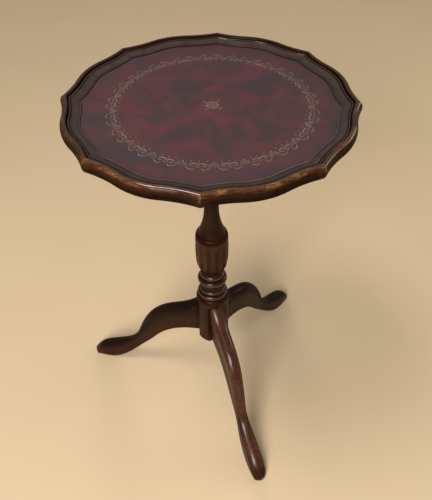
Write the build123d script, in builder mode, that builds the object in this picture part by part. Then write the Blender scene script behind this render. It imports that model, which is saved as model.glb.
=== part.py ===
import os
from math import cos, radians, sin, sqrt

from build123d import *

# Tilt top table, in millimetres
# The pillar stands on the Z axis, the floor is z = 0 and the front leg points to -Y

# Overall sizes
table_height = 528.0
top_width = 333.0

# Outline of the top: eight lobes that meet in points
lobe_count = 8
crest_inset = 3.0
dip_inset = 5.7
dip_angle = 12.5

# Rim moulding: widths go inwards from its outer edge, drops go down from its crest
rim_thickness = 21.0
rim_width = 21.0
foot_inset = 9.0
under_end = 5.75
under_end_drop = 18.2
under_middle = 1.55
under_middle_drop = 13.95
belly_drop = 8.2
face_middle = 0.43
face_middle_drop = 5.0
bead_start = 1.7
bead_start_drop = 2.05
crest_middle = 5.3
bead_edge = 7.4
bead_edge_drop = 0.55
quirk_width = 1.4
quirk_drop = 4.4
quirk_slope = 0.2
ridge_width = 1.8
ridge_drop = 2.5
ridge_rounding = 0.5
inner_quirk_width = 0.7
inner_quirk_drop = 3.8
cove_start_drop = 3.1
cove_end_drop = 5.8
cove_sag = 1.0

# Panel and leather inside the rim
leather_drop = 7.0
leather_thickness = 1.0
leather_gap = 0.5
panel_gap = 0.1
tongue_depth = 6.0
tongue_thickness = 4.0
tongue_rise = 4.5

# Turned pillar: radii, and heights above the floor
hub_radius = 24.4
hub_bottom = 107.0
hub_top = 195.0
hub_rounding = 3.0
hub_flat = 19.2
hub_flat_top = 190.0
shoulder_bulge_radius = 23.6
shoulder_bulge = 200.0
shoulder_radius = 20.8
shoulder_top = 203.0
ring_foot_radius = 17.8
ring_foot = 203.8
ring_radius = 22.0
ring_middle = 208.2
ring_top_radius = 17.8
ring_top = 212.6
ring_bead_foot_radius = 16.6
ring_bead_foot = 213.4
ring_bead_radius = 19.2
ring_bead_middle = 216.6
groove_foot_radius = 16.8
groove_foot = 219.8
groove_radius = 16.2
groove_middle = 225.4
torus_foot_radius = 17.0
torus_foot = 231.0
torus_radius = 21.4
torus_middle = 236.5
torus_top_radius = 16.8
torus_top = 242.0
torus_bead_foot_radius = 15.7
torus_bead_foot = 242.8
torus_bead_radius = 17.7
torus_bead_middle = 246.6
waist_foot_radius = 15.7
waist_foot = 250.4
waist_radius = 15.2
waist_middle = 253.6
urn_foot_radius = 16.8
urn_foot = 257.5
urn_low_radius = 21.9
urn_low = 272.0
urn_radius = 22.95
urn_middle = 292.0
urn_band_radius = 22.5
urn_band = 321.2
urn_groove_radius = 21.2
urn_groove = 322.2
urn_shoulder_radius = 21.9
urn_shoulder = 323.2
urn_bulge_radius = 21.2
urn_bulge = 325.6
cove_foot_radius = 19.4
cove_foot = 327.4
cove_radius = 13.2
cove_middle = 344.5
stem_radius = 9.8
stem_foot = 369.0
stem_top_radius = 11.0
collar_cove_radius = 11.6
collar_bead_radius = 14.6
collar_bead_height = 6.0
collar_radius = 17.0
collar_height = 5.0

# Flutes of the urn
flute_count = 12
flute_radius = 4.4
flute_depth = 1.5
flute_top = 309.0
flute_bend = 287.0

# Tenon, block and wedge
tenon_radius = 9.0
tenon_recess = 0.5
tenon_gap = 0.15
block_width = 64.0
block_depth = 68.0
block_height = 24.0
block_chamfer = 4.0
block_gap = 0.2
wedge_width = 2.6
wedge_tip = 1.0
wedge_length = 16.0
wedge_setback = 0.4
seat_gap = 0.02

# Legs: each station has the crown's reach and height, the underside's reach and height, and the width
leg_root = (188.0, 116.0, 21.0)
leg_stations = (
    (34.0, 173.0, 33.0, 115.0, 21.0),
    (58.0, 161.0, 54.0, 110.0, 20.5),
    (82.0, 150.0, 74.0, 99.5, 20.0),
    (101.0, 132.5, 89.0, 86.0, 19.0),
    (115.5, 108.0, 101.5, 70.0, 17.5),
    (125.0, 83.5, 114.0, 55.0, 16.2),
    (136.0, 61.0, 127.0, 40.0, 16.0),
    (153.0, 46.5, 143.0, 23.0, 19.4),
    (173.0, 37.5, 162.5, 6.5, 21.8),
    (191.0, 29.5, 182.0, -0.8, 22.4),
    (204.0, 19.5, 200.0, -0.8, 21.4),
    (215.0, 6.0, 213.0, -4.5, 16.5),
)
toe_reach = 213.5
toe_radius = 11.5
crown_share = 0.36
under_share = 0.22
leg_headings = {"front": -90.0, "right": 30.0, "left": 150.0}
dovetail_neck = 9.0
dovetail_width = 13.0
dovetail_depth = 9.0
dovetail_top = 176.0
dovetail_gap = 0.1

# Bearers, their screws and the pivot pins
bearer_width = 14.0
bearer_height = 20.0
bearer_side_gap = 0.5
bearer_end_gap = 24.0
bearer_tip_height = 8.0
bearer_tip_length = 22.0
bearer_tip_sag = 3.0
bearer_screw_setback = 30.0
bearer_screw_middle = -22.0
bearer_screw_radius = 2.0
bearer_screw_head = 4.0
bearer_screw_bite = 9.0
pivot_drop = 9.0
pin_radius = 3.0
pin_running_gap = 0.05
pin_bite = 14.0
pin_head_radius = 5.0
pin_head_height = 2.4
pin_head_gap = 0.2
pin_slot_width = 1.0
pin_slot_depth = 1.0

# Snap catch under the top
catch_plate_width = 40.0
catch_plate_length = 46.0
catch_plate_thickness = 2.0
catch_plate_rounding = 3.0
catch_block_gap = 3.0
catch_screw_inset = 5.0
catch_screw_radius = 1.4
catch_screw_head = 2.8
catch_screw_bite = 8.0
case_wall = 2.0
case_back_setback = 4.0
bolt_width = 10.0
bolt_height = 5.4
bolt_gap = 0.3
bolt_bevel = 3.2
bolt_bite = 5.0
bolt_travel = 6.0
spring_room = 13.0
spring_thickness = 0.5
spring_height = 4.6
spring_bend = 1.4
spring_gap = 0.3
knob_setback = 10.0
knob_stem_radius = 2.0
knob_stem_bite = 3.0
knob_neck = 3.0
knob_radius = 5.0
knob_edge_radius = 3.2
knob_height = 7.0

# Keeper let into the block
keeper_width = 34.0
keeper_height = 12.0
keeper_thickness = 1.6
keeper_gap = 0.1
keeper_screw_spacing = 24.0
keeper_screw_bite = 11.0
window_gap = 0.5
mortise_gap = 0.8
mortise_depth = 9.0

# Places that follow from the sizes
underside = table_height - rim_thickness
leather_top = table_height - leather_drop
panel_top = leather_top - leather_thickness
tongue_bottom = underside + tongue_rise
block_top = underside - block_gap
block_bottom = block_top - block_height
block_face = -block_depth / 2
tenon_top = block_top - tenon_recess
pivot_height = block_top - pivot_drop
pivot_back = block_depth / 2 - pivot_drop
bearer_inner = block_width / 2 + bearer_side_gap
bearer_outer = bearer_inner + bearer_width
bearer_bottom = underside - bearer_height
catch_top = underside - catch_plate_thickness
catch_front = block_face - catch_block_gap
catch_back = catch_front - catch_plate_length
bolt_top = catch_top - case_wall - bolt_gap
bolt_bottom = bolt_top - bolt_height
bolt_middle = (bolt_top + bolt_bottom) / 2
bolt_tip = block_face + bolt_bite
case_bottom = bolt_bottom - bolt_gap - case_wall
case_width = bolt_width + 2 * bolt_gap + 2 * case_wall
case_back = catch_back + case_back_setback
bolt_back = case_back + case_wall + spring_room
knob_place = catch_front - knob_setback

# Arcs of the outline: a convex arc about lobe_centre between two concave arcs about points at dip_centre
half_lobe = 180.0 / lobe_count
cusp_radius = top_width / 2
crest_radius = cusp_radius - crest_inset
dip_radius = cusp_radius - dip_inset
cusp_turn = radians(half_lobe - dip_angle)
cusp_along = cusp_radius * cos(cusp_turn)
chord_squared = dip_radius**2 + cusp_radius**2 - 2 * dip_radius * cusp_along
concave_radius = chord_squared / (2 * (cusp_along - dip_radius))
dip_centre = dip_radius + concave_radius
arc_reach = crest_radius + concave_radius
lobe_centre = (arc_reach**2 - dip_centre**2) / (2 * (arc_reach - dip_centre * cos(radians(dip_angle))))
convex_radius = crest_radius - lobe_centre
bearer_half_length = dip_radius - rim_width - bearer_end_gap


def polar(distance, angle, height=0.0):
    return Vector(distance * cos(radians(angle)), distance * sin(radians(angle)), height)


def lobe_angle(lobe):
    return -90.0 + lobe * 2 * half_lobe


def cusp_at(inset):
    across = dip_centre * sin(cusp_turn)
    return dip_centre * cos(cusp_turn) - sqrt((concave_radius + inset) ** 2 - across**2)


def arc_change_at(inset, middle, side):
    centre = polar(lobe_centre, middle)
    towards = polar(dip_centre, middle + side * dip_angle) - centre
    return centre + towards.normalized() * (convex_radius - inset)


def lobed_outline(inset, height):
    with BuildSketch(Plane.XY.offset(height)) as outline:
        with BuildLine():
            for lobe in range(lobe_count):
                middle = lobe_angle(lobe)
                cusp = cusp_at(inset)
                dip = dip_radius - inset
                before = arc_change_at(inset, middle, -1)
                after = arc_change_at(inset, middle, 1)
                ThreePointArc(polar(cusp, middle - half_lobe), polar(dip, middle - dip_angle), before)
                ThreePointArc(before, polar(crest_radius - inset, middle), after)
                ThreePointArc(after, polar(dip, middle + dip_angle), polar(cusp, middle + half_lobe))
        make_face()
    return outline.sketch


def screw_profile(face, radius, head, length):
    # Half section of a countersunk screw whose head lies in the plane named face and points along its normal
    section_plane = Plane(face.origin, x_dir=face.x_dir, z_dir=-face.y_dir)
    with BuildSketch(section_plane) as section:
        with BuildLine():
            Polyline(
                (0, 0),
                (head, 0),
                (radius, radius - head),
                (radius, radius - length),
                (0, -length),
                close=True,
            )
        make_face()
    return section.sketch


def write(piece, name):
    piece.part.label = name
    export_step(piece.part, f"parts/{name}.step")


# Places of the screws: each plane lies on a screw's head and faces out of the wood
bearer_screw_reach = bearer_half_length - bearer_screw_setback
bearer_screw_faces = [
    Plane((side * (bearer_inner + bearer_width / 2), along, bearer_bottom), z_dir=(0, 0, -1))
    for side in (-1, 1)
    for along in (-bearer_screw_reach, bearer_screw_middle, bearer_screw_reach)
]
catch_screw_faces = [
    Plane((side * (catch_plate_width / 2 - catch_screw_inset), along, catch_top), z_dir=(0, 0, -1))
    for side in (-1, 1)
    for along in (catch_front - catch_screw_inset, catch_back + catch_screw_inset)
]
keeper_screw_faces = [
    Plane((side * keeper_screw_spacing / 2, block_face, bolt_middle), z_dir=(0, -1, 0)) for side in (-1, 1)
]

# Radius, head radius and length of each kind of screw
bearer_screw_size = (bearer_screw_radius, bearer_screw_head, bearer_height + bearer_screw_bite)
catch_screw_size = (catch_screw_radius, catch_screw_head, catch_plate_thickness + catch_screw_bite)
keeper_screw_size = (catch_screw_radius, catch_screw_head, keeper_screw_bite)


def drill(faces, size):
    for face in faces:
        hole = screw_profile(face, *[value + seat_gap for value in size])
        revolve(hole, axis=Axis(face.origin, face.z_dir), mode=Mode.SUBTRACT)


os.makedirs("parts", exist_ok=True)


# Rim mouldings, each from one mitre to the next
def bowed(start, end, sag):
    # Middle point of an arc that bows by sag to the left of the way from start to end
    along = Vector(*end) - Vector(*start)
    middle = (Vector(*start) + Vector(*end)) * 0.5
    return tuple(middle + Vector(-along.Y, along.X).normalized() * sag)[:2]


def rim_section(centre, towards, radius, inward):
    # Section on a plane through an arc's centre; inward is 1 where the rim's inside lies away from it
    ridge_start = bead_edge + quirk_width
    ridge_end = ridge_start + ridge_width
    cove_start = ridge_end + inner_quirk_width
    under = (under_end, under_end_drop)
    belly = (0, belly_drop)
    bead_outer = (bead_start, bead_start_drop)
    bead_inner = (bead_edge, bead_edge_drop)
    ridge_outer = (ridge_start, ridge_drop + ridge_rounding)
    ridge_top = ((ridge_start + ridge_end) / 2, ridge_drop)
    ridge_inner = (ridge_end, ridge_drop + ridge_rounding)
    cove_high = (cove_start, cove_start_drop)
    cove_low = (rim_width, cove_end_drop)

    def place(point):
        return (radius + inward * point[0], table_height - point[1])

    with BuildSketch(Plane(centre, x_dir=towards, z_dir=towards.cross(Vector(0, 0, 1)))) as section:
        with BuildLine():
            Polyline(
                place(cove_low),
                place((rim_width, rim_thickness)),
                place((foot_inset, rim_thickness)),
                place(under),
            )
            ThreePointArc(place(under), place((under_middle, under_middle_drop)), place(belly))
            ThreePointArc(place(belly), place((face_middle, face_middle_drop)), place(bead_outer))
            ThreePointArc(place(bead_outer), place((crest_middle, 0)), place(bead_inner))
            Polyline(
                place(bead_inner),
                place((bead_edge + quirk_slope, quirk_drop)),
                place((ridge_start - quirk_slope, quirk_drop)),
                place(ridge_outer),
            )
            ThreePointArc(place(ridge_outer), place(ridge_top), place(ridge_inner))
            Polyline(
                place(ridge_inner),
                place((ridge_end + quirk_slope, inner_quirk_drop)),
                place((cove_start - quirk_slope, inner_quirk_drop)),
                place(cove_high),
            )
            ThreePointArc(place(cove_high), place(bowed(cove_high, cove_low, cove_sag)), place(cove_low))
        make_face()
    return section.sketch


for lobe in range(lobe_count):
    middle = lobe_angle(lobe)
    lobe_point = polar(lobe_centre, middle)
    dip_points = [polar(dip_centre, middle + side * dip_angle) for side in (-1, 1)]
    first, last = [(point - lobe_point).normalized() for point in dip_points]
    with BuildPart() as rim_moulding:
        revolve(
            rim_section(lobe_point, first, convex_radius, -1),
            axis=Axis(lobe_point, (0, 0, 1)),
            revolution_arc=first.get_angle(last),
        )
        # The concave arcs run on past the mitres and are cut there
        for dip_point, outward, side in zip(dip_points, (first, last), (-1, 1)):
            revolve(
                rim_section(dip_point, -outward, concave_radius, 1),
                axis=Axis(dip_point, (0, 0, 1)),
                revolution_arc=-side * 2 * (half_lobe - dip_angle),
            )
        for side in (-1, 1):
            along_mitre = polar(1, middle + side * half_lobe)
            across_mitre = along_mitre.cross(Vector(0, 0, side))
            split(bisect_by=Plane((0, 0, 0), x_dir=along_mitre, z_dir=across_mitre))
        extrude(
            lobed_outline(rim_width - tongue_depth - panel_gap, tongue_bottom - panel_gap),
            amount=tongue_thickness + 2 * panel_gap,
            mode=Mode.SUBTRACT,
        )
    write(rim_moulding, f"rim_moulding_{lobe + 1}")

# Panel with a tongue all round and pilot holes in its underside
with BuildPart() as top_core:
    extrude(lobed_outline(rim_width + panel_gap, underside), amount=panel_top - underside)
    extrude(lobed_outline(rim_width - tongue_depth, tongue_bottom), amount=tongue_thickness)
    drill(bearer_screw_faces, bearer_screw_size)
    drill(catch_screw_faces, catch_screw_size)
write(top_core, "top_core")

# Leather panel
with BuildPart() as leather_inset:
    extrude(lobed_outline(rim_width + leather_gap, panel_top), amount=leather_thickness)
write(leather_inset, "leather_inset")


# Dovetail of a leg, seen from above, with its neck at the hub's flat
def dovetail(heading, gap, height):
    inner = hub_flat - dovetail_depth - gap
    neck = dovetail_neck / 2 + gap
    wide = dovetail_width / 2 + gap
    with BuildSketch(Plane((0, 0, height), x_dir=polar(1, heading))) as tail:
        with BuildLine():
            Polyline((hub_flat, neck), (inner, wide), (inner, -wide), (hub_flat, -neck), close=True)
        make_face()
    return tail.sketch


# Round tool that cuts one flute of the urn, along a line beside the belly
flute_offset = flute_radius - flute_depth
with BuildPart() as flute:
    with BuildLine(Plane.XZ) as flute_line:
        bend = (urn_radius + flute_offset, flute_bend)
        Line((urn_radius + flute_offset, flute_top), bend)
        TangentArc(bend, (urn_foot_radius + flute_offset, urn_foot), tangent=(0, -1))
    with BuildSketch(Plane(flute_line.line @ 0, z_dir=flute_line.line % 0)):
        Circle(flute_radius)
    sweep()
    with Locations(flute_line.line @ 0):
        Sphere(flute_radius)


# Section of the wedge across the tenon
def wedge_section():
    with BuildSketch(Plane.YZ) as section:
        with BuildLine():
            Polyline(
                (-wedge_width / 2, tenon_top),
                (-wedge_tip / 2, tenon_top - wedge_length),
                (wedge_tip / 2, tenon_top - wedge_length),
                (wedge_width / 2, tenon_top),
                close=True,
            )
        make_face()
    return section.sketch


# Pillar: one turning from the hub to the tenon
with BuildPart() as pillar:
    collar_foot = block_bottom - collar_height
    bead_foot = collar_foot - collar_bead_height
    with BuildSketch(Plane.XZ):
        with BuildLine():
            Line((0, hub_bottom), (hub_radius - hub_rounding, hub_bottom))
            JernArc((hub_radius - hub_rounding, hub_bottom), (1, 0), hub_rounding, 90)
            Line((hub_radius, hub_bottom + hub_rounding), (hub_radius, hub_top))
            ThreePointArc(
                (hub_radius, hub_top),
                (shoulder_bulge_radius, shoulder_bulge),
                (shoulder_radius, shoulder_top),
            )
            Line((shoulder_radius, shoulder_top), (ring_foot_radius, ring_foot))
            ThreePointArc(
                (ring_foot_radius, ring_foot), (ring_radius, ring_middle), (ring_top_radius, ring_top)
            )
            Line((ring_top_radius, ring_top), (ring_bead_foot_radius, ring_bead_foot))
            ThreePointArc(
                (ring_bead_foot_radius, ring_bead_foot),
                (ring_bead_radius, ring_bead_middle),
                (groove_foot_radius, groove_foot),
            )
            ThreePointArc(
                (groove_foot_radius, groove_foot),
                (groove_radius, groove_middle),
                (torus_foot_radius, torus_foot),
            )
            ThreePointArc(
                (torus_foot_radius, torus_foot), (torus_radius, torus_middle), (torus_top_radius, torus_top)
            )
            Line((torus_top_radius, torus_top), (torus_bead_foot_radius, torus_bead_foot))
            ThreePointArc(
                (torus_bead_foot_radius, torus_bead_foot),
                (torus_bead_radius, torus_bead_middle),
                (waist_foot_radius, waist_foot),
            )
            ThreePointArc(
                (waist_foot_radius, waist_foot), (waist_radius, waist_middle), (urn_foot_radius, urn_foot)
            )
            belly = TangentArc((urn_radius, urn_middle), (urn_low_radius, urn_low), tangent=(0, -1))
            TangentArc((urn_low_radius, urn_low), (urn_foot_radius, urn_foot), tangent=belly % 1)
            TangentArc((urn_radius, urn_middle), (urn_band_radius, urn_band), tangent=(0, 1))
            Polyline(
                (urn_band_radius, urn_band),
                (urn_groove_radius, urn_groove),
                (urn_shoulder_radius, urn_shoulder),
            )
            ThreePointArc(
                (urn_shoulder_radius, urn_shoulder),
                (urn_bulge_radius, urn_bulge),
                (cove_foot_radius, cove_foot),
            )
            ThreePointArc((cove_foot_radius, cove_foot), (cove_radius, cove_middle), (stem_radius, stem_foot))
            Polyline(
                (stem_radius, stem_foot), (stem_top_radius, bead_foot), (collar_cove_radius, bead_foot)
            )
            ThreePointArc(
                (collar_cove_radius, bead_foot),
                (collar_bead_radius, bead_foot + collar_bead_height / 2),
                (collar_cove_radius, collar_foot),
            )
            Polyline(
                (collar_cove_radius, collar_foot),
                (collar_radius, collar_foot),
                (collar_radius, block_bottom),
                (tenon_radius, block_bottom),
                (tenon_radius, tenon_top),
                (0, tenon_top),
                (0, hub_bottom),
            )
        make_face()
    revolve(axis=Axis.Z)
    with PolarLocations(0, flute_count):
        add(flute.part, mode=Mode.SUBTRACT)
    # Flats and dovetail housings for the legs
    for heading in leg_headings.values():
        with BuildSketch(Plane((0, 0, hub_bottom), x_dir=polar(1, heading))):
            with Locations((hub_flat + hub_radius / 2, 0)):
                Rectangle(hub_radius, 2 * hub_radius)
        extrude(amount=hub_flat_top - hub_bottom, mode=Mode.SUBTRACT)
        extrude(
            dovetail(heading, dovetail_gap, hub_bottom),
            amount=dovetail_top + dovetail_gap - hub_bottom,
            mode=Mode.SUBTRACT,
        )
    extrude(wedge_section(), amount=tenon_radius, both=True, mode=Mode.SUBTRACT)
write(pillar, "pillar")

# Wedge in the tenon's saw cut
with BuildPart() as block_wedge:
    extrude(wedge_section(), amount=tenon_radius - wedge_setback, both=True)
write(block_wedge, "block_wedge")


# Section of a leg: flat sides, a round crown and a flat underside with eased edges
def leg_section(heading, crown_reach, crown_height, under_reach, under_height, width):
    low = polar(under_reach, heading, under_height)
    upright = polar(crown_reach, heading, crown_height) - low
    across = Vector(0, 0, 1).cross(polar(1, heading))
    shoulder = upright.length - crown_share * width
    rounding = under_share * width
    with BuildSketch(Plane(low, x_dir=across, z_dir=across.cross(upright))) as section:
        with BuildLine():
            Line((rounding - width / 2, 0), (width / 2 - rounding, 0))
            JernArc((width / 2 - rounding, 0), (1, 0), rounding, 90)
            Line((width / 2, rounding), (width / 2, shoulder))
            ThreePointArc((width / 2, shoulder), (0, upright.length), (-width / 2, shoulder))
            Line((-width / 2, shoulder), (-width / 2, rounding))
            JernArc((-width / 2, rounding), (0, -1), rounding, 90)
        make_face()
    return section.sketch


# Legs: lofted from the hub to the toe, with a flat sole, a round toe and a dovetail tongue
for place, heading in leg_headings.items():
    root_top, root_bottom, root_width = leg_root
    stations = ((hub_flat, root_top, hub_flat, root_bottom, root_width), *leg_stations)
    with BuildPart() as leg:
        loft([leg_section(heading, *station) for station in stations])
        split(bisect_by=Plane.XY)
        with BuildSketch(Plane((0, 0, 0), x_dir=polar(1, heading))):
            with Locations(((toe_reach - toe_radius) / 2, 0)):
                SlotCenterToCenter(toe_reach - toe_radius, 2 * toe_radius)
        extrude(amount=root_top, mode=Mode.INTERSECT)
        extrude(dovetail(heading, 0, root_bottom), amount=dovetail_top - root_bottom)
    write(leg, f"leg_{place}")

# Block on the pillar, rounded about the pivot so that the top can turn past it
with BuildPart() as tilt_block:
    with BuildSketch(Plane.XY.offset(block_bottom)):
        Rectangle(block_width, block_depth)
    extrude(amount=block_height)
    chamfer(tilt_block.faces().sort_by(Axis.Z)[0].edges(), length=block_chamfer)
    fillet(tilt_block.edges().filter_by(Axis.X).group_by(Axis.Z)[-1].sort_by(Axis.Y)[-1], radius=pivot_drop)
    with BuildSketch(Plane.XY.offset(block_bottom)):
        Circle(tenon_radius + tenon_gap)
    extrude(amount=block_height, mode=Mode.SUBTRACT)
    for side in (-1, 1):
        with BuildSketch(Plane((side * block_width / 2, pivot_back, pivot_height), z_dir=(side, 0, 0))):
            Circle(pin_radius + seat_gap)
        extrude(amount=-pin_bite - seat_gap, mode=Mode.SUBTRACT)
    keeper_face = Plane((0, block_face, bolt_middle), x_dir=(1, 0, 0), z_dir=(0, -1, 0))
    with BuildSketch(keeper_face):
        Rectangle(keeper_width + 2 * keeper_gap, keeper_height + 2 * keeper_gap)
    extrude(amount=-keeper_thickness, mode=Mode.SUBTRACT)
    with BuildSketch(keeper_face):
        Rectangle(bolt_width + 2 * mortise_gap, bolt_height + 2 * mortise_gap)
    extrude(amount=-mortise_depth, mode=Mode.SUBTRACT)
    drill(keeper_screw_faces, keeper_screw_size)
write(tilt_block, "tilt_block")

# Bearers on both sides of the block, with swept tips
for place, start in (("left", -bearer_outer), ("right", bearer_inner)):
    tip_foot = (bearer_half_length, underside - bearer_tip_height)
    tip_end = (bearer_half_length - bearer_tip_length, bearer_bottom)
    with BuildPart() as bearer:
        with BuildSketch(Plane.YZ.offset(start)):
            with BuildLine():
                Polyline((0, underside), (bearer_half_length, underside), tip_foot)
                SagittaArc(tip_foot, tip_end, bearer_tip_sag)
                Line(tip_end, (0, bearer_bottom))
                mirror(about=Plane.YZ)
            make_face()
        extrude(amount=bearer_width)
        with BuildSketch(Plane.YZ.offset(start)):
            with Locations((pivot_back, pivot_height)):
                Circle(pin_radius + pin_running_gap)
        extrude(amount=bearer_width, mode=Mode.SUBTRACT)
        drill(bearer_screw_faces, bearer_screw_size)
    write(bearer, f"bearer_{place}")

# Pivot pins, fixed in the block, with slotted round heads outside the bearers
for place, side in (("left", -1), ("right", 1)):
    pin_end = block_width / 2 - pin_bite
    head_foot = bearer_outer + pin_head_gap
    head_end = head_foot + pin_head_height
    pin_plane = Plane((0, pivot_back, pivot_height), x_dir=(side, 0, 0), z_dir=(0, -side, 0))
    with BuildPart() as pivot_pin:
        with BuildSketch(pin_plane):
            with BuildLine():
                Polyline(
                    (head_end, 0),
                    (pin_end, 0),
                    (pin_end, pin_radius),
                    (head_foot, pin_radius),
                    (head_foot, pin_head_radius),
                )
                TangentArc((head_end, 0), (head_foot, pin_head_radius), tangent=(0, 1))
            make_face()
        revolve(axis=Axis(pin_plane.origin, pin_plane.x_dir))
        with BuildSketch(Plane(pin_plane.from_local_coords((head_end, 0, 0)), z_dir=pin_plane.x_dir)):
            Rectangle(2 * pin_head_radius, pin_slot_width)
        extrude(amount=-pin_slot_depth, mode=Mode.SUBTRACT)
    write(pivot_pin, f"pivot_pin_{place}")

# Plate of the catch
with BuildPart() as catch_plate:
    with BuildSketch(Plane.XY.offset(catch_top)):
        with Locations((0, (catch_front + catch_back) / 2)):
            RectangleRounded(catch_plate_width, catch_plate_length, catch_plate_rounding)
    extrude(amount=catch_plate_thickness)
    drill(catch_screw_faces, catch_screw_size)
write(catch_plate, "catch_plate")

# Case of the catch, open at the front, with a slot below for the knob
with BuildPart() as catch_case:
    with BuildSketch(Plane.XY.offset(case_bottom)):
        with Locations((0, (catch_front + case_back) / 2)):
            Rectangle(case_width, catch_front - case_back)
    extrude(amount=catch_top - case_bottom)
    with BuildSketch(Plane((0, catch_front, bolt_middle), x_dir=(1, 0, 0), z_dir=(0, -1, 0))):
        Rectangle(bolt_width + 2 * bolt_gap, bolt_height + 2 * bolt_gap)
    extrude(amount=catch_front - case_back - case_wall, mode=Mode.SUBTRACT)
    with BuildSketch(Plane.XY.offset(case_bottom)):
        with Locations((0, knob_place - bolt_travel / 2)):
            SlotCenterToCenter(bolt_travel, 2 * (knob_stem_radius + bolt_gap), rotation=90)
    extrude(amount=case_wall, mode=Mode.SUBTRACT)
write(catch_case, "catch_case")

# Bolt with a nose that is bevelled below, so that it snaps home as the top comes down
with BuildPart() as catch_bolt:
    with BuildSketch(Plane.YZ):
        with BuildLine():
            Polyline(
                (bolt_back, bolt_bottom),
                (bolt_tip - bolt_bevel, bolt_bottom),
                (bolt_tip, bolt_bottom + bolt_bevel),
                (bolt_tip, bolt_top),
                (bolt_back, bolt_top),
                close=True,
            )
        make_face()
    extrude(amount=bolt_width / 2, both=True)
    with BuildSketch(Plane.XY.offset(bolt_bottom)):
        with Locations((0, knob_place)):
            Circle(knob_stem_radius + seat_gap)
    extrude(amount=knob_stem_bite, mode=Mode.SUBTRACT)
write(catch_bolt, "catch_bolt")

# Turned knob below the case
with BuildPart() as catch_knob:
    knob_top = case_bottom - knob_neck
    with BuildSketch(Plane((0, knob_place, 0), x_dir=(1, 0, 0), z_dir=(0, -1, 0))):
        with BuildLine():
            Polyline(
                (0, knob_top - knob_height),
                (0, bolt_bottom + knob_stem_bite),
                (knob_stem_radius, bolt_bottom + knob_stem_bite),
                (knob_stem_radius, knob_top),
                (knob_edge_radius, knob_top),
            )
            ThreePointArc(
                (knob_edge_radius, knob_top),
                (knob_radius, knob_top - knob_height / 2),
                (knob_edge_radius, knob_top - knob_height),
            )
            Line((knob_edge_radius, knob_top - knob_height), (0, knob_top - knob_height))
        make_face()
    revolve(axis=Axis((0, knob_place, 0), (0, 0, 1)))
write(catch_knob, "catch_knob")

# Folded flat spring between the case's back wall and the bolt
with BuildPart() as catch_spring:
    spring_back = case_back + case_wall + spring_gap + spring_thickness / 2
    spring_front = bolt_back - spring_gap - spring_thickness / 2
    spring_side = bolt_width / 2 - spring_thickness
    with BuildSketch(Plane.XY.offset(bolt_middle - spring_height / 2)):
        with BuildLine():
            FilletPolyline(
                (-spring_side, spring_back),
                (spring_side, spring_back),
                (-spring_side, spring_front),
                (spring_side, spring_front),
                radius=spring_bend,
            )
        trace(line_width=spring_thickness)
    extrude(amount=spring_height)
write(catch_spring, "catch_spring")

# Keeper plate let into the block's face
with BuildPart() as keeper_plate:
    with BuildSketch(keeper_face):
        Rectangle(keeper_width, keeper_height)
        Rectangle(bolt_width + 2 * window_gap, bolt_height + 2 * window_gap, mode=Mode.SUBTRACT)
    extrude(amount=-keeper_thickness)
    drill(keeper_screw_faces, keeper_screw_size)
write(keeper_plate, "keeper_plate")

# Screws, each kind as a group
for name, faces, size in (
    ("bearer_screws", bearer_screw_faces, bearer_screw_size),
    ("catch_screws", catch_screw_faces, catch_screw_size),
    ("keeper_screws", keeper_screw_faces, keeper_screw_size),
):
    with BuildPart() as screws:
        for face in faces:
            revolve(screw_profile(face, *size), axis=Axis(face.origin, face.z_dir))
    write(screws, name)
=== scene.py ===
import math

import bmesh
import bpy
from mathutils import Matrix, Vector


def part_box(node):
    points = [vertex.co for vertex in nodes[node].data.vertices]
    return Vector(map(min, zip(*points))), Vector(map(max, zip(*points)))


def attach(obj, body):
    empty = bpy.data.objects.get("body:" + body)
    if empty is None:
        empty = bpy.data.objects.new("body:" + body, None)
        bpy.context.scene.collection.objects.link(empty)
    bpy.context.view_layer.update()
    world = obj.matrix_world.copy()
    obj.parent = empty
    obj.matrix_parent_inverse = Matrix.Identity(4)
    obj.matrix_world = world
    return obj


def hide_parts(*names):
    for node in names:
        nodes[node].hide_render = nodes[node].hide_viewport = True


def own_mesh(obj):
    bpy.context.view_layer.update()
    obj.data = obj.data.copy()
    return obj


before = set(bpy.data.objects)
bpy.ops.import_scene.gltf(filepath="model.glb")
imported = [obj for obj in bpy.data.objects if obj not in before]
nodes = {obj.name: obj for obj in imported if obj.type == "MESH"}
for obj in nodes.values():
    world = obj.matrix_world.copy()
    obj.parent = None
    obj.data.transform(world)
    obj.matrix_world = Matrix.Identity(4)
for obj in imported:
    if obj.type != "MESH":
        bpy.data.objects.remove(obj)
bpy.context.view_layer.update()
mm = 0.001  # in metres
print("table loaded,", len(nodes), "nodes")


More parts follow.
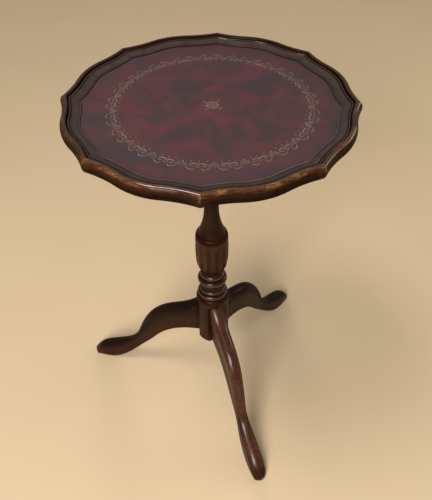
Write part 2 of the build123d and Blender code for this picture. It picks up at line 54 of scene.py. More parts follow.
class Socket:  # one socket of a node tree; sums and products of sockets add Math nodes
    def __init__(self, tree, socket=None):
        self.tree = tree
        self.socket = socket

    def make(self, kind, settings=None, values=None, outlet=0):
        node = self.tree.nodes.new(kind)
        for name, value in (settings or {}).items():
            if name == "stops":
                setStops(node.color_ramp.elements, value)
            else:
                setattr(node, name, value)
        for name, value in (values or {}).items():
            inlet = node.inputs[name]
            if isinstance(value, Socket):
                self.tree.links.new(value.socket, inlet)
            elif inlet.type == "RGBA":
                inlet.default_value = (*value, 1.0)
            else:
                inlet.default_value = value
        return Socket(self.tree, node.outputs[outlet] if node.outputs else None)

    def beside(self, outlet):  # another outlet of the same node
        return Socket(self.tree, self.socket.node.outputs[outlet])

    def sums(self, operation, first, second=0.0):
        return self.make("ShaderNodeMath", {"operation": operation}, {0: first, 1: second})

    def __add__(self, other):
        return self.sums("ADD", self, other)

    def __radd__(self, other):
        return self.sums("ADD", other, self)

    def __sub__(self, other):
        return self.sums("SUBTRACT", self, other)

    def __rsub__(self, other):
        return self.sums("SUBTRACT", other, self)

    def __mul__(self, other):
        return self.sums("MULTIPLY", self, other)

    def __rmul__(self, other):
        return self.sums("MULTIPLY", other, self)

    def __truediv__(self, other):
        return self.sums("DIVIDE", self, other)

    def __pow__(self, other):
        return self.sums("POWER", self, other)

    def __abs__(self):
        return self.sums("ABSOLUTE", self)

    def ramp(self, low, high):  # 0 below low, 1 above high, eased between them
        settings = {"interpolation_type": "SMOOTHSTEP"}
        return self.make("ShaderNodeMapRange", settings, {"Value": self, "From Min": low, "From Max": high})

    def fade(self, low, high):  # 1 below low, 0 above high
        return 1.0 - self.ramp(low, high)

    def band(self, middle, half):  # 1 at middle, fading to 0 at half away from it
        return abs(self - middle).fade(0.0, half)

    def length(self, other):  # distance from two offsets at right angles
        return (self * self + other * other) ** 0.5

    def blend(self, first, second):  # the first colour, turning to the second where this is 1
        settings = {"data_type": "RGBA", "clamp_factor": True}
        return self.make("ShaderNodeMix", settings, {0: self, 6: first, 7: second}, 2)

    def tint(self, colour, amount):  # this colour, with another laid over it
        return amount.blend(self, colour)

    def noise(self, scale=1.0, detail=2.0, distortion=0.0, roughness=0.5):
        values = {"Vector": self, "Scale": scale, "Detail": detail}
        values.update({"Roughness": roughness, "Distortion": distortion})
        return self.make("ShaderNodeTexNoise", {}, values)

    def patches(self, low, high, **looks):  # noise with its contrast drawn out
        return self.noise(**looks).ramp(low, high)

    def cells(self, scale):
        return self.make("ShaderNodeTexVoronoi", {}, {"Vector": self, "Scale": scale})

    def shifted(self, offset):
        return self.make("ShaderNodeVectorMath", {"operation": "ADD"}, {0: self, 1: offset})

    def turned(self, turn):
        settings = {"rotation_type": "EULER_XYZ", "invert": True}
        return self.make("ShaderNodeVectorRotate", settings, {"Vector": self, "Rotation": turn})

    def stretched(self, turn, scale):  # coordinates turned and then scaled
        turned = self.turned(turn)
        return self.make("ShaderNodeVectorMath", {"operation": "MULTIPLY"}, {0: turned, 1: scale})


def setStops(elements, stops):
    while len(elements) > 1:
        elements.remove(elements[-1])
    for index, (place, colour) in enumerate(stops):
        stop = elements[0] if index == 0 else elements.new(place)
        stop.position = place
        stop.color = (*colour, 1.0)


def newFinish(name):  # a material, and its Object coordinates
    material = bpy.data.materials.new(name)
    material.use_nodes = True
    material.node_tree.nodes.clear()
    return material, Socket(material.node_tree).make("ShaderNodeTexCoord", outlet="Object")


def closeFinish(place, values, relief=None, depth=0.0):
    if relief is not None:
        values["Normal"] = place.make("ShaderNodeBump", {}, {"Height": relief, "Distance": depth})
    surface = place.make("ShaderNodeBsdfPrincipled", {}, values)
    place.make("ShaderNodeOutputMaterial", {}, {"Surface": surface})


def split(place):
    x = place.make("ShaderNodeSeparateXYZ", {}, {0: place})
    return x, x.beside(1), x.beside(2)


def outAndUp(place):  # distance from the table's upright axis, and height
    x, y, z = split(place)
    return x.length(y), z


def dress(name, material):
    data = nodes[name].data
    data.materials.clear()
    data.materials.append(material)
    for face in data.polygons:
        face.material_index = 0


# polished mahogany of the stand and the rim; a scale along the grain comes before the two across it
mahogany = {
    "dark": (0.0060, 0.0012, 0.0003),
    "body": (0.0180, 0.0038, 0.0008),
    "light": (0.0400, 0.0100, 0.0022),
    "worn": (0.2000, 0.0860, 0.0240),
    "bare": (0.3000, 0.2050, 0.1300),
    # painted sheen: a greyish reflection laid on the rim's cove, ridge and crest
    "paintedSheen": (0.0700, 0.0510, 0.0430),
    # the dark colour of painted shade, and of grime in the mitres' glue lines
    "shadeAndDirt": (0.0030, 0.0009, 0.0004),
    "seedWay": (1.0, 0.7, 1.3),  # direction in which a seed moves the grain
    "figureScale": (9.0, 150.0, 150.0),
    "figure": {"detail": 4.0, "distortion": 0.6, "low": 0.34, "high": 0.68},
    "figureLight": 0.62,
    "poreScale": (36.0, 1500.0, 1500.0),
    "pores": {"detail": 2.0, "low": 0.54, "high": 0.70},
    "poreDark": 0.55,
    "clouds": {"scale": 26.0, "detail": 3.0, "distortion": 0.4, "low": 0.35, "high": 0.70},
    "cloudDark": 0.55,
    "rubScale": (70.0, 520.0, 520.0),
    "rubs": {"detail": 4.0, "distortion": 0.3},
    "rubEnds": (0.38, 0.62),
    "leastRub": 0.30,
    "scratchTurn": (0.5, 0.9, 0.3),
    "scratchScale": (40.0, 40.0, 2600.0),
    "scratches": {"detail": 1.0, "low": 0.70, "high": 0.76},
    "shadeAndDirtShare": 0.85,
    "gloss": 0.36,
    "roughness": {"rubs": 0.14, "pores": 0.10, "shadeAndDirt": 0.22, "wear": 0.10, "scratches": 0.12},
    "specular": 0.04,
    "coat": 0.165,
    "coatLoss": {"pores": 0.15, "shadeAndDirt": 0.7},
    "coatGloss": 0.25,
    "coatIor": 1.8,
    "relief": {"pores": 0.5, "rubs": 0.35},
    "reliefDepth": 0.00003,
}


def mahoganyFinish(name, turn, seed, masks, look=mahogany):
    # each mask gives where wear and painted light, painted shade and grime, painted sheen, chipped spots with
    # a painted highlight, or dull polish lie
    material, place = newFinish(name)
    here = place.shifted([seed * way for way in look["seedWay"]])
    figure = here.stretched(turn, look["figureScale"]).patches(**look["figure"])
    pores = here.stretched(turn, look["poreScale"]).patches(**look["pores"])
    rubs = here.stretched(turn, look["rubScale"]).noise(**look["rubs"])
    scratches = here.stretched(look["scratchTurn"], look["scratchScale"]).patches(**look["scratches"])
    colour = (figure * look["figureLight"]).blend(look["body"], look["light"])
    colour = colour.tint(look["dark"], here.patches(**look["clouds"]) * look["cloudDark"])
    colour = colour.tint(look["dark"], pores * look["poreDark"])
    rougher = look["roughness"]
    rough = look["gloss"] + rubs * rougher["rubs"] + pores * rougher["pores"]
    rough = rough + scratches * rougher["scratches"]
    coat = 1.0 - pores * look["coatLoss"]["pores"]
    # painted sheen
    if "paintedSheen" in masks:
        colour = colour.tint(look["paintedSheen"], masks["paintedSheen"](place))
    # painted shade, with grime in the glue lines
    if "shadeAndDirt" in masks:
        shadeAndDirt = masks["shadeAndDirt"](place)
        colour = colour.tint(look["shadeAndDirt"], shadeAndDirt * look["shadeAndDirtShare"])
        rough = rough + shadeAndDirt * rougher["shadeAndDirt"]
        coat = coat * (1.0 - shadeAndDirt * look["coatLoss"]["shadeAndDirt"])
    if "dull" in masks:
        coat = coat * (1.0 - masks["dull"](place))
    if "wear" in masks:
        through = look["leastRub"] + rubs.ramp(*look["rubEnds"]) * (1.0 - look["leastRub"])
        wear = masks["wear"](place) * through
        colour = colour.tint(look["worn"], wear)
        rough = rough + wear * rougher["wear"]
    # chipped spots, and a painted highlight on the rim's lip
    if "chipsAndHighlight" in masks:
        colour = colour.tint(look["bare"], masks["chipsAndHighlight"](place))
    relief = 1.0 - pores * look["relief"]["pores"] + rubs * look["relief"]["rubs"]
    closeFinish(place, {
        "Base Color": colour,
        "Roughness": rough,
        "Specular IOR Level": look["specular"],
        "Coat Weight": coat * look["coat"],
        "Coat Roughness": look["coatGloss"],
        "Coat IOR": look["coatIor"],
    }, relief, look["reliefDepth"])
    return material


# turned pillar: pale where hands and cloths have worn it, with painted shade in its grooves, flutes and
# hollows, and on the stem under the top
pillarWearAndShade = {
    "seed": 0.11,
    "rings": {0.2082: 0.0220, 0.2166: 0.0192, 0.2365: 0.0214, 0.2466: 0.0177},  # height and radius of each
    "ringHalf": 0.0050,
    "ringRound": (0.0024, 0.0008),  # how far inside the radius the mask starts and is full
    "ringRub": 0.07,
    "ringPolish": 3.4,
    "urnFoot": (0.2580, 0.2740),
    "urnLip": (0.3175, 0.3215),
    "landRadius": (0.0208, 0.0228),
    "landRub": 0.10,
    "fluteFoot": (0.2620, 0.2750),
    "fluteTop": (0.3060, 0.3140),
    "fluteRadius": (0.0200, 0.0222),
    # painted shade: how dark the flutes, quirks, hollows and the stem under the top are painted
    "fluteShade": 0.5,
    "quirks": (0.2034, 0.2130, 0.2424),
    "quirkHalf": 0.0010,
    "quirkShade": 0.6,
    "hollows": ((0.2198, 0.2310, 0.0176), (0.2500, 0.2585, 0.0168)),  # from, to, and out to which radius
    "hollowEnd": 0.0005,
    "hollowRound": 0.0012,
    "hollowShade": 0.3,
    "stem": (0.330, 0.400),
    "stemShade": 0.9,
    "dullBands": {0.2012: 0.0042, 0.3250: 0.0070},  # height and half width: the shoulder, the urn's lip
    "dullFull": 0.6,
    "dull": 0.85,
}


def pillarRings(place):
    radius, z = outAndUp(place)
    start, full = pillarWearAndShade["ringRound"]
    rings = 0.0
    for height, reach in pillarWearAndShade["rings"].items():
        rings = z.band(height, pillarWearAndShade["ringHalf"]) * radius.ramp(reach - start, reach - full) + rings
    return rings


def pillarRubbed(place):
    radius, z = outAndUp(place)
    urn = z.ramp(*pillarWearAndShade["urnFoot"]) * z.fade(*pillarWearAndShade["urnLip"])
    lands = radius.ramp(*pillarWearAndShade["landRadius"]) * urn
    return lands * pillarWearAndShade["landRub"] + pillarRings(place) * pillarWearAndShade["ringRub"]


# painted shade: darker flutes, quirks and hollows, and a stem darkening towards the top, where the table's
# top shades it
def pillarShade(place):
    radius, z = outAndUp(place)
    flutes = z.ramp(*pillarWearAndShade["fluteFoot"]) * z.fade(*pillarWearAndShade["fluteTop"])
    flutes = flutes * radius.fade(*pillarWearAndShade["fluteRadius"])
    darkened = flutes * pillarWearAndShade["fluteShade"] + z.ramp(*pillarWearAndShade["stem"]) * pillarWearAndShade["stemShade"]
    for height in pillarWearAndShade["quirks"]:
        darkened = darkened + z.band(height, pillarWearAndShade["quirkHalf"]) * pillarWearAndShade["quirkShade"]
    end = pillarWearAndShade["hollowEnd"]
    for low, high, reach in pillarWearAndShade["hollows"]:
        hollow = z.ramp(low - end, low + end) * z.fade(high - end, high + end)
        hollow = hollow * radius.fade(reach - pillarWearAndShade["hollowRound"], reach)
        darkened = darkened + hollow * pillarWearAndShade["hollowShade"]
    return darkened


def pillarDull(place):  # below 0 on the rings, which have more polish than the rest
    z = split(place)[2]
    dull = pillarRings(place) * -pillarWearAndShade["ringPolish"]
    for height, half in pillarWearAndShade["dullBands"].items():
        dull = dull + z.band(height, half).ramp(0.0, pillarWearAndShade["dullFull"]) * pillarWearAndShade["dull"]
    return dull


upright = (0.0, math.radians(-90.0), 0.0)  # grain along Z
dress("pillar", mahoganyFinish("pillarMahogany", upright, pillarWearAndShade["seed"], {
    "wear": pillarRubbed, "shadeAndDirt": pillarShade, "dull": pillarDull}))

# legs: sawn with the grain along the way from the hub to the foot
legs = {
    # painted light along the front leg's crown, and a painted dark reflection along the crowns of the other
    # two
    "front": {"heading": -90.0, "crownLight": 0.55, "crownDarkReflection": 0.0, "crownPolish": 0.9},
    "right": {"heading": 30.0, "crownLight": 0.0, "crownDarkReflection": 0.6, "crownPolish": 0.0},
    "left": {"heading": 150.0, "crownLight": 0.0, "crownDarkReflection": 0.6, "crownPolish": 0.2},
}
legWearAndLight = {
    "seedStep": 0.013,  # for each degree of heading
    "grain": 42.0,  # degrees below level
    # colour of the worn toes, and of the painted light on the front leg's crown
    "worn": (0.1300, 0.0420, 0.0190),
    "toe": (0.004, 0.030),
    "toeRub": 0.06,
    "root": (0.020, 0.030),
    "rootDark": 0.7,
    "sole": (0.0, 0.003),
    "soleDark": 0.5,
    "crown": (0.004, 0.016),  # above the leg's middle line
    "reach": 0.22,  # the middle line lies within this reach and height
    "height": 0.18,
    "middle": (  # reach and height of points on the middle line
        (0.0335, 0.1440), (0.0560, 0.1355), (0.0780, 0.1248), (0.0950, 0.1093), (0.1085, 0.0890),
        (0.1195, 0.0690), (0.1315, 0.0505), (0.1480, 0.0348), (0.1678, 0.0220), (0.1865, 0.0144),
        (0.2020, 0.0094),
    ),
}


def legCrown(place):  # 1 along the top of a leg
    reach, z = outAndUp(place)
    stops = [(out / legWearAndLight["reach"], (up / legWearAndLight["height"],) * 3) for out, up in legWearAndLight["middle"]]
    middle = place.make("ShaderNodeValToRGB", {"stops": stops}, {"Fac": reach / legWearAndLight["reach"]})
    return (z - middle * legWearAndLight["height"]).ramp(*legWearAndLight["crown"])


def legMasks(leg):
    # worn toes, and painted light along the crown
    def wearAndLight(place):
        z = split(place)[2]
        return z.fade(*legWearAndLight["toe"]) * legWearAndLight["toeRub"] + legCrown(place) * leg["crownLight"]

    # darker close to the axis, where the leg meets the hub, and within 3 mm of the floor, with a painted dark
    # reflection along the crown
    def darkening(place):
        reach, z = outAndUp(place)
        root = reach.fade(*legWearAndLight["root"]) * legWearAndLight["rootDark"]
        sole = z.fade(*legWearAndLight["sole"]) * legWearAndLight["soleDark"]
        return root + sole + legCrown(place) * leg["crownDarkReflection"]

    def dulled(place):  # below 0 where the crown has more polish than the rest
        return legCrown(place) * -leg["crownPolish"]

    return {"wear": wearAndLight, "shadeAndDirt": darkening, "dull": dulled}


for side, leg in legs.items():
    turn = (0.0, math.radians(legWearAndLight["grain"]), math.radians(leg["heading"]))
    seed = leg["heading"] * legWearAndLight["seedStep"]
    dress("leg_" + side, mahoganyFinish("legMahogany_" + side, turn, seed, legMasks(leg), {
        **mahogany, "worn": legWearAndLight["worn"]}))
print("pillar and legs polished")

# rim: the same outline as the moulding, so that wear, painted light, painted shade and painted sheen follow
# its edges
rim = {
    "lobes": 8,
    "firstHeading": -90.0,
    "width": 0.333,
    "crestInset": 0.0030,
    "dipInset": 0.0057,
    "dipAngle": 12.5,
    "crestHeight": 0.528,
    "seedStep": 0.37,
    # colour of the roll's wear and of the painted light on it
    "worn": (0.2150, 0.0970, 0.0330),
    "coat": 0.40,
    "coatGloss": 0.10,
    "frontHeading": -100.0,  # the side with the most wear, chipped spots and painted light
    "frontPower": 3,
    "backShare": 0.10,
    # where each mask starts and ends: in from the outer edge, down from the crest, or off the mitre
    "rollIn": (0.0046, 0.0072),
    "rollTop": (0.0004, 0.0050),
    "rollSide": (0.0040, 0.0120),
    "sideBelow": (0.0009, 0.0019),
    "tips": (0.0, 0.0120),
    "ridgeOuter": (0.0089, 0.0093),
    "ridgeInner": (0.0101, 0.0105),
    "ridgeTop": (0.0028, 0.0034),
    "ridgeEdge": (0.0028, 0.0033),
    "coveIn": (0.0112, 0.0125),
    "coveTop": (0.0056, 0.0062),
    "crestTop": (0.0004, 0.0016),
    "lipTop": (0.0060, 0.0064),
    "chipIn": (0.0050, 0.0066),
    "chipTop": (0.0030, 0.0050),
    "arrisSide": (0.0060, 0.0100),
    "glueLine": (0.00008, 0.00030),
    "underSide": (0.0036, 0.0096),
    "underIn": (0.0100, 0.0140),
    # middle and half width of narrow bands
    "crestBand": (0.0053, 0.0026),
    "ridgeBand": (0.0097, 0.0011),
    "lipBand": (0.0210, 0.0009),
    "arrisBand": (0.0006, 0.0005),
    "quirkBands": ((0.0081, 0.0009), (0.01095, 0.0006)),
    # how much of each shows
    # wear and painted light on the roll's top, and painted light down its upper side
    "rollWearAndLight": 0.92,
    "rollLight": 0.06,
    "patchShare": 0.68,
    "fineWear": (0.50, 0.80),
    "tipWear": 0.14,
    "ridgeWear": 0.25,
    "coveSheen": 0.55,
    "ridgeSheen": 1.2,
    "crestSheen": 0.6,
    "sheenBreakup": (0.75, 0.45),
    "lipWearAndLight": 0.65,
    "mitreWear": 0.55,
    # painted shade in the quirks and under the roll
    "quirkShade": 0.9,
    "underShade": 0.92,
    "sideDull": 0.90,
    # what breaks the masks up
    "patches": {"scale": 38.0, "detail": 4.0, "distortion": 0.5, "low": 0.40, "high": 0.64},
    "fine": {"scale": 430.0, "detail": 3.0, "distortion": 0.6, "low": 0.36, "high": 0.66},
    # patches that break up the painted sheen
    "dust": {"scale": 60.0, "detail": 4.0, "distortion": 0.8, "low": 0.30, "high": 0.70},
    "chipCells": 260.0,
    "chipCell": (0.10, 0.24),
    "chipPlaces": {"scale": 120.0, "detail": 1.0, "low": 0.60, "high": 0.68},
    "ragged": {"scale": 300.0, "detail": 2.0, "distortion": 0.9, "low": 0.40, "high": 0.58},
}


def rimArcs():  # of half a lobe: the bulge's centre and radius, then those of the hollow beside the mitre
    cusp = rim["width"] / 2
    crest, dip = cusp - rim["crestInset"], cusp - rim["dipInset"]
    turn = math.radians(180.0 / rim["lobes"] - rim["dipAngle"])
    along = cusp * math.cos(turn)
    hollow = (dip ** 2 + cusp ** 2 - 2 * dip * along) / (2 * (along - dip))
    far, reach = dip + hollow, crest + hollow
    lean = math.radians(rim["dipAngle"])
    centre = (reach ** 2 - far ** 2) / (2 * (reach - far * math.cos(lean)))
    return centre, crest - centre, (far * math.cos(lean), far * math.sin(lean)), hollow


def rimProfile(place, heading):
    # distance in from the outer edge, drop below the crest, and distance to the mitre
    centre, bulge, (farAlong, farAcross), hollow = rimArcs()
    along, across, height = split(place.turned((0.0, 0.0, math.radians(heading))))
    across = abs(across)
    convex = bulge - (along - centre).length(across)
    concave = (along - farAlong).length(across - farAcross) - hollow
    past = along.sums("GREATER_THAN", across * (farAlong - centre), (along - centre) * farAcross)
    inset = convex + past * (concave - convex)
    halfLobe = math.radians(180.0 / rim["lobes"])
    mitre = along * math.sin(halfLobe) - across * math.cos(halfLobe)
    return inset, rim["crestHeight"] - height, mitre


def rimFinish(index):
    heading = rim["firstHeading"] + index * 360.0 / rim["lobes"]
    towards = 0.5 + 0.5 * math.cos(math.radians(heading - rim["frontHeading"]))
    share = rim["backShare"] + (1.0 - rim["backShare"]) * towards ** rim["frontPower"]

    def wearAndLight(place):
        inset, drop, mitre = rimProfile(place, heading)
        roll = inset.fade(*rim["rollIn"])
        patchy = place.patches(**rim["patches"])
        through = 1.0 - rim["patchShare"] + patchy * rim["patchShare"]
        least, more = rim["fineWear"]
        # the roll's top: wear and painted light
        worn = roll * drop.fade(*rim["rollTop"]) * rim["rollWearAndLight"] * through
        worn = worn * (least + place.patches(**rim["fine"]) * more)
        tips = roll * mitre.fade(*rim["tips"]) * rim["tipWear"]
        # painted light down the upper side of the roll
        glow = roll * drop.fade(*rim["rollSide"]) * rim["rollLight"]
        ridge = inset.band(*rim["ridgeBand"]) * drop.fade(*rim["ridgeEdge"]) * rim["ridgeWear"]
        return (worn + tips + glow + ridge * patchy) * share

    # painted sheen: a greyish reflection on the cove, the ridge and the crest
    def sheenMask(place):
        inset, drop = rimProfile(place, heading)[:2]
        cove = inset.ramp(*rim["coveIn"]) * drop.fade(*rim["coveTop"])
        ridge = inset.ramp(*rim["ridgeOuter"]) * inset.fade(*rim["ridgeInner"]) * drop.fade(*rim["ridgeTop"])
        crest = inset.band(*rim["crestBand"]) * drop.fade(*rim["crestTop"])
        sheen = cove + ridge * rim["ridgeSheen"] + crest * rim["crestSheen"]
        least, more = rim["sheenBreakup"]
        return sheen * rim["coveSheen"] * (least + place.patches(**rim["dust"]) * more)

    def chippedAndLit(place):
        inset, drop, mitre = rimProfile(place, heading)
        # the lip by the leather: wear with a painted highlight
        lip = inset.band(*rim["lipBand"]) * drop.fade(*rim["lipTop"]) * rim["lipWearAndLight"]
        spots = place.cells(rim["chipCells"]).fade(*rim["chipCell"]) * place.patches(**rim["chipPlaces"])
        spots = spots * inset.fade(*rim["chipIn"]) * drop.fade(*rim["chipTop"])
        arris = inset.fade(*rim["rollIn"]) * mitre.band(*rim["arrisBand"]) * drop.fade(*rim["arrisSide"])
        arris = arris * place.patches(**rim["ragged"]) * rim["mitreWear"]
        return (lip + spots + arris) * share

    # dark glue lines at the mitres, and painted shade under the roll and in the quirks
    def darkening(place):
        inset, drop, mitre = rimProfile(place, heading)
        under = drop.ramp(*rim["underSide"]) * inset.fade(*rim["underIn"])
        darkened = mitre.fade(*rim["glueLine"]) + under * rim["underShade"]
        for band in rim["quirkBands"]:
            darkened = darkened + inset.band(*band) * rim["quirkShade"]
        return darkened

    def dulled(place):
        inset, drop = rimProfile(place, heading)[:2]
        return inset.fade(*rim["rollIn"]) * drop.ramp(*rim["sideBelow"]) * rim["sideDull"]

    alongRim = (0.0, 0.0, math.radians(heading + 90.0))
    return mahoganyFinish("rimMahogany_%d" % (index + 1), alongRim, rim["seedStep"] * index, {
        "wear": wearAndLight, "shadeAndDirt": darkening, "paintedSheen": sheenMask, "chipsAndHighlight": chippedAndLit, "dull": dulled,
    }, {**mahogany, "worn": rim["worn"], "coat": rim["coat"], "coatGloss": rim["coatGloss"]})


for index in range(rim["lobes"]):
    dress("rim_moulding_%d" % (index + 1), rimFinish(index))
print("rim polished")

# leather: burgundy hide with dark mottling, rubbed and a little dry
leather = {
    "red": (0.110, 0.0310, 0.0370),
    "body": (0.072, 0.0305, 0.0340),
    "dark": (0.049, 0.0310, 0.0330),
    "scuff": (0.140, 0.0850, 0.0830),
    "broadPlace": (0.31, 0.12, 0.0),
    "broad": {"scale": 25.0, "detail": 2.0, "distortion": 0.6},
    "smallPlace": (0.05, 0.44, 0.0),
    "small": {"scale": 80.0, "detail": 4.0, "distortion": 0.6},
    "smallShare": 0.16,
    "redEnds": (0.36, 0.54),
    "redLeast": 0.62,  # share of the red that is left away from the middle
    "middle": (0.010, 0.120),
    "darkEnds": (0.48, 0.64),
    "darkShare": 0.90,
    "edge": (0.128, 0.141),
    "edgeDark": 0.45,
    "pebbles": 1250.0,
    "pebbleEnds": (0.35, 0.75),
    "pebbleDark": 0.25,
    "pores": {"scale": 2750.0, "detail": 3.0},
    "rubPlace": (0.7, 0.2, 0.0),
    "rubs": {"scale": 95.0, "detail": 5.0, "distortion": 1.2, "roughness": 0.62, "low": 0.68, "high": 0.80},
    "rubShare": 0.35,
    "gloss": 0.58,
    "roughness": {"small": 0.10, "rubs": 0.12, "pores": 0.06},
    "specular": 0.28,
    "relief": {"pebbles": -0.7, "pores": 0.5, "broad": 0.6},
    "reliefDepth": 0.00007,
}


def leatherFinish():
    material, place = newFinish("burgundyLeather")
    reach = outAndUp(place)[0]
    broad = place.shifted(leather["broadPlace"]).noise(**leather["broad"])
    small = place.shifted(leather["smallPlace"]).noise(**leather["small"])
    mottle = broad * (1.0 - leather["smallShare"]) + small * leather["smallShare"]
    pebbles = place.cells(leather["pebbles"])
    pores = place.noise(**leather["pores"])
    rubs = place.shifted(leather["rubPlace"]).patches(**leather["rubs"])
    glow = leather["redLeast"] + reach.fade(*leather["middle"]) * (1.0 - leather["redLeast"])
    colour = (mottle.fade(*leather["redEnds"]) * glow).blend(leather["body"], leather["red"])
    colour = colour.tint(leather["dark"], mottle.ramp(*leather["darkEnds"]) * leather["darkShare"])
    edge = reach.ramp(*leather["edge"]) * leather["edgeDark"]
    colour = colour.tint(leather["dark"], edge + pebbles.ramp(*leather["pebbleEnds"]) * leather["pebbleDark"])
    colour = colour.tint(leather["scuff"], rubs * leather["rubShare"])
    rougher, relief = leather["roughness"], leather["relief"]
    rough = leather["gloss"] + small * rougher["small"] + rubs * rougher["rubs"] + pores * rougher["pores"]
    raised = pebbles * relief["pebbles"] + pores * relief["pores"] + broad * relief["broad"]
    values = {"Base Color": colour, "Roughness": rough, "Specular IOR Level": leather["specular"]}
    closeFinish(place, values, raised, leather["reliefDepth"])
    return material


dress("leather_inset", leatherFinish())

# gilt tooling: a scroll border and a small rosette, pressed into the leather
gilt = {
    "gold": (0.176, 0.148, 0.102),
    "pale": (0.250, 0.218, 0.160),
    "gone": (0.085, 0.0300, 0.0270),
    "flakes": {"scale": 820.0, "detail": 4.0, "distortion": 0.4},
    "flakeEnds": (0.50, 0.60),
    "rubs": {"scale": 70.0, "detail": 3.0, "distortion": 0.5},
    "rubEnds": (0.34, 0.66),
    "paleEnds": (0.40, 0.70),
    "paleShare": 0.7,
    "goneShare": 0.8,
    "metal": 0.30,
    "metalLoss": 0.25,
    "gloss": 0.42,
    "flakeRough": 0.2,
    "flakeDepth": 0.00002,
    "height": 0.00007,
    "centre": (0.0018, -0.0029),
    "strokeSteps": 5,
    "strokeSides": 6,
    "dotSides": 12,
    "pressed": 0.0002,  # a stroke is flat above and below this height
    "driftFrom": 0.785,  # radians before the ring closes, where the drift is greatest
    "driftHalf": 0.9,
}
border = {"repeats": 21, "inner": 0.1035, "middle": 0.1105, "turn": -116.7, "drift": 2.1}  # given
rosette = {"repeats": 4, "inner": 0.0, "middle": 0.0072, "turn": 33.0, "drift": 0.0}


def giltFinish():
    material, place = newFinish("wornGilt")
    flakes = place.noise(**gilt["flakes"])
    rubs = place.noise(**gilt["rubs"])
    gone = flakes.ramp(*gilt["flakeEnds"]) * rubs.ramp(*gilt["rubEnds"])
    colour = (rubs.ramp(*gilt["paleEnds"]) * gilt["paleShare"]).blend(gilt["gold"], gilt["pale"])
    colour = colour.tint(gilt["gone"], gone * gilt["goneShare"])
    rough = gilt["gloss"] + flakes * gilt["flakeRough"]
    metal = gilt["metal"] - gone * gilt["metalLoss"]
    values = {"Base Color": colour, "Roughness": rough, "Metallic": metal}
    closeFinish(place, values, flakes, gilt["flakeDepth"])
    return material


def halfRepeat(look):  # half the length of one repeat, in mm
    return math.pi * look["middle"] / look["repeats"] / mm


# strokes of half a repeat and dots of a whole one, in mm along it, out from the inner edge, and wide
repeatEnd = halfRepeat(border)
borderStrokes = [
    [(11.9, 9.9, 0.7), (10.6, 10.7, 1.0), (8.9, 11.9, 1.2), (7.0, 13.0, 1.2), (5.2, 12.8, 1.1),
     (4.2, 11.6, 0.9), (3.8, 10.2, 0.6)],
    [(7.9, 4.8, 0.7), (8.3, 6.3, 0.8), (7.1, 7.7, 0.8), (5.4, 7.7, 0.8), (4.5, 6.8, 0.7), (5.1, 6.0, 0.6)],
    [(8.6, 4.2, 1.1), (6.4, 3.5, 1.7), (4.2, 3.0, 1.8), (2.0, 3.5, 1.7), (0.0, 4.5, 1.6)],
    [(1.0, 5.8, 0.6), (1.8, 7.1, 0.8), (1.3, 8.5, 0.7), (0.2, 9.4, 0.6)],
]
borderDots = [(-8.3, -0.2, 0.85), (0.0, -0.1, 0.85), (8.3, -0.2, 0.85), (repeatEnd, 1.4, 1.2)]
borderFan = {
    "rays": [(0.9, 1.3, 8.2), (2.5, 3.4, 8.6), (4.0, 5.4, 8.4)],  # each ray's foot, tip and height
    "foot": 1.0,  # height of a foot in the middle
    "rise": 0.5,  # of a foot, for each mm that it stands to the side
    "bend": 0.55,  # share of the height
    "width": 0.7,
    "tipWidth": 0.85,
}

petalEnd = halfRepeat(rosette)
rosetteStrokes = [
    [(0.0, 1.4, 0.9), (2.8, 1.4, 0.9), (petalEnd, 1.4, 0.9)],
    [(0.0, 2.6, 0.6), (2.4, 4.0, 1.0), (2.7, 5.6, 1.2), (1.6, 7.2, 1.1), (0.0, 7.7, 0.9)],
    [(0.0, 4.4, 0.7), (0.3, 5.4, 1.0), (0.0, 6.2, 0.7)],
    [(petalEnd, 2.6, 0.7), (4.9, 4.2, 1.0), (4.3, 5.6, 1.1), (4.7, 6.8, 1.1), (petalEnd, 7.2, 0.9)],
]
rosetteDots = [(0.0, 11.2, 0.95), (petalEnd, 5.3, 0.7), (petalEnd, 9.6, 0.5)]


def withTwins(strokes):  # strokes and their mirror images
    return strokes + [[(-x, y, size) for x, y, size in stroke] for stroke in strokes]


def fanStrokes(axis):
    strokes = []
    for foot, tip, height in borderFan["rays"]:
        for side in (-1, 1):
            strokes.append([
                (axis + side * foot, borderFan["foot"] + foot * borderFan["rise"], borderFan["width"]),
                (axis + side * (foot + tip) / 2, height * borderFan["bend"], borderFan["width"]),
                (axis + side * tip, height, borderFan["tipWidth"]),
            ])
    return strokes


def strokeMesh(name, strokes, dots):  # strokes as edges with a width at each point, dots as loose points
    points, edges = [], []
    for stroke in strokes:
        start = len(points)
        points.extend(stroke)
        edges.extend((start + step, start + step + 1) for step in range(len(stroke) - 1))
    mesh = bpy.data.meshes.new(name)
    mesh.from_pydata([(x * mm, y * mm, 0.0) for x, y, size in points + dots], edges, [])
    width = mesh.attributes.new("strokeWidth", "FLOAT", "POINT")
    width.data.foreach_set("value", [size * mm for x, y, size in points] + [0.0] * len(dots))
    spot = mesh.attributes.new("dotSize", "FLOAT", "POINT")
    spot.data.foreach_set("value", [0.0] * len(points) + [size * mm for x, y, size in dots])
    return mesh


def newTree(name, sizes):  # a Geometry Nodes tree, its inputs and their identifiers
    tree = bpy.data.node_groups.new(name, "GeometryNodeTree")
    names = {}
    for label, kind in {"Shape": "NodeSocketGeometry", **sizes, "Finish": "NodeSocketMaterial"}.items():
        names[label] = tree.interface.new_socket(label, in_out="INPUT", socket_type=kind).identifier
    tree.interface.new_socket("Made", in_out="OUTPUT", socket_type="NodeSocketGeometry")
    return tree, Socket(tree).make("NodeGroupInput"), names


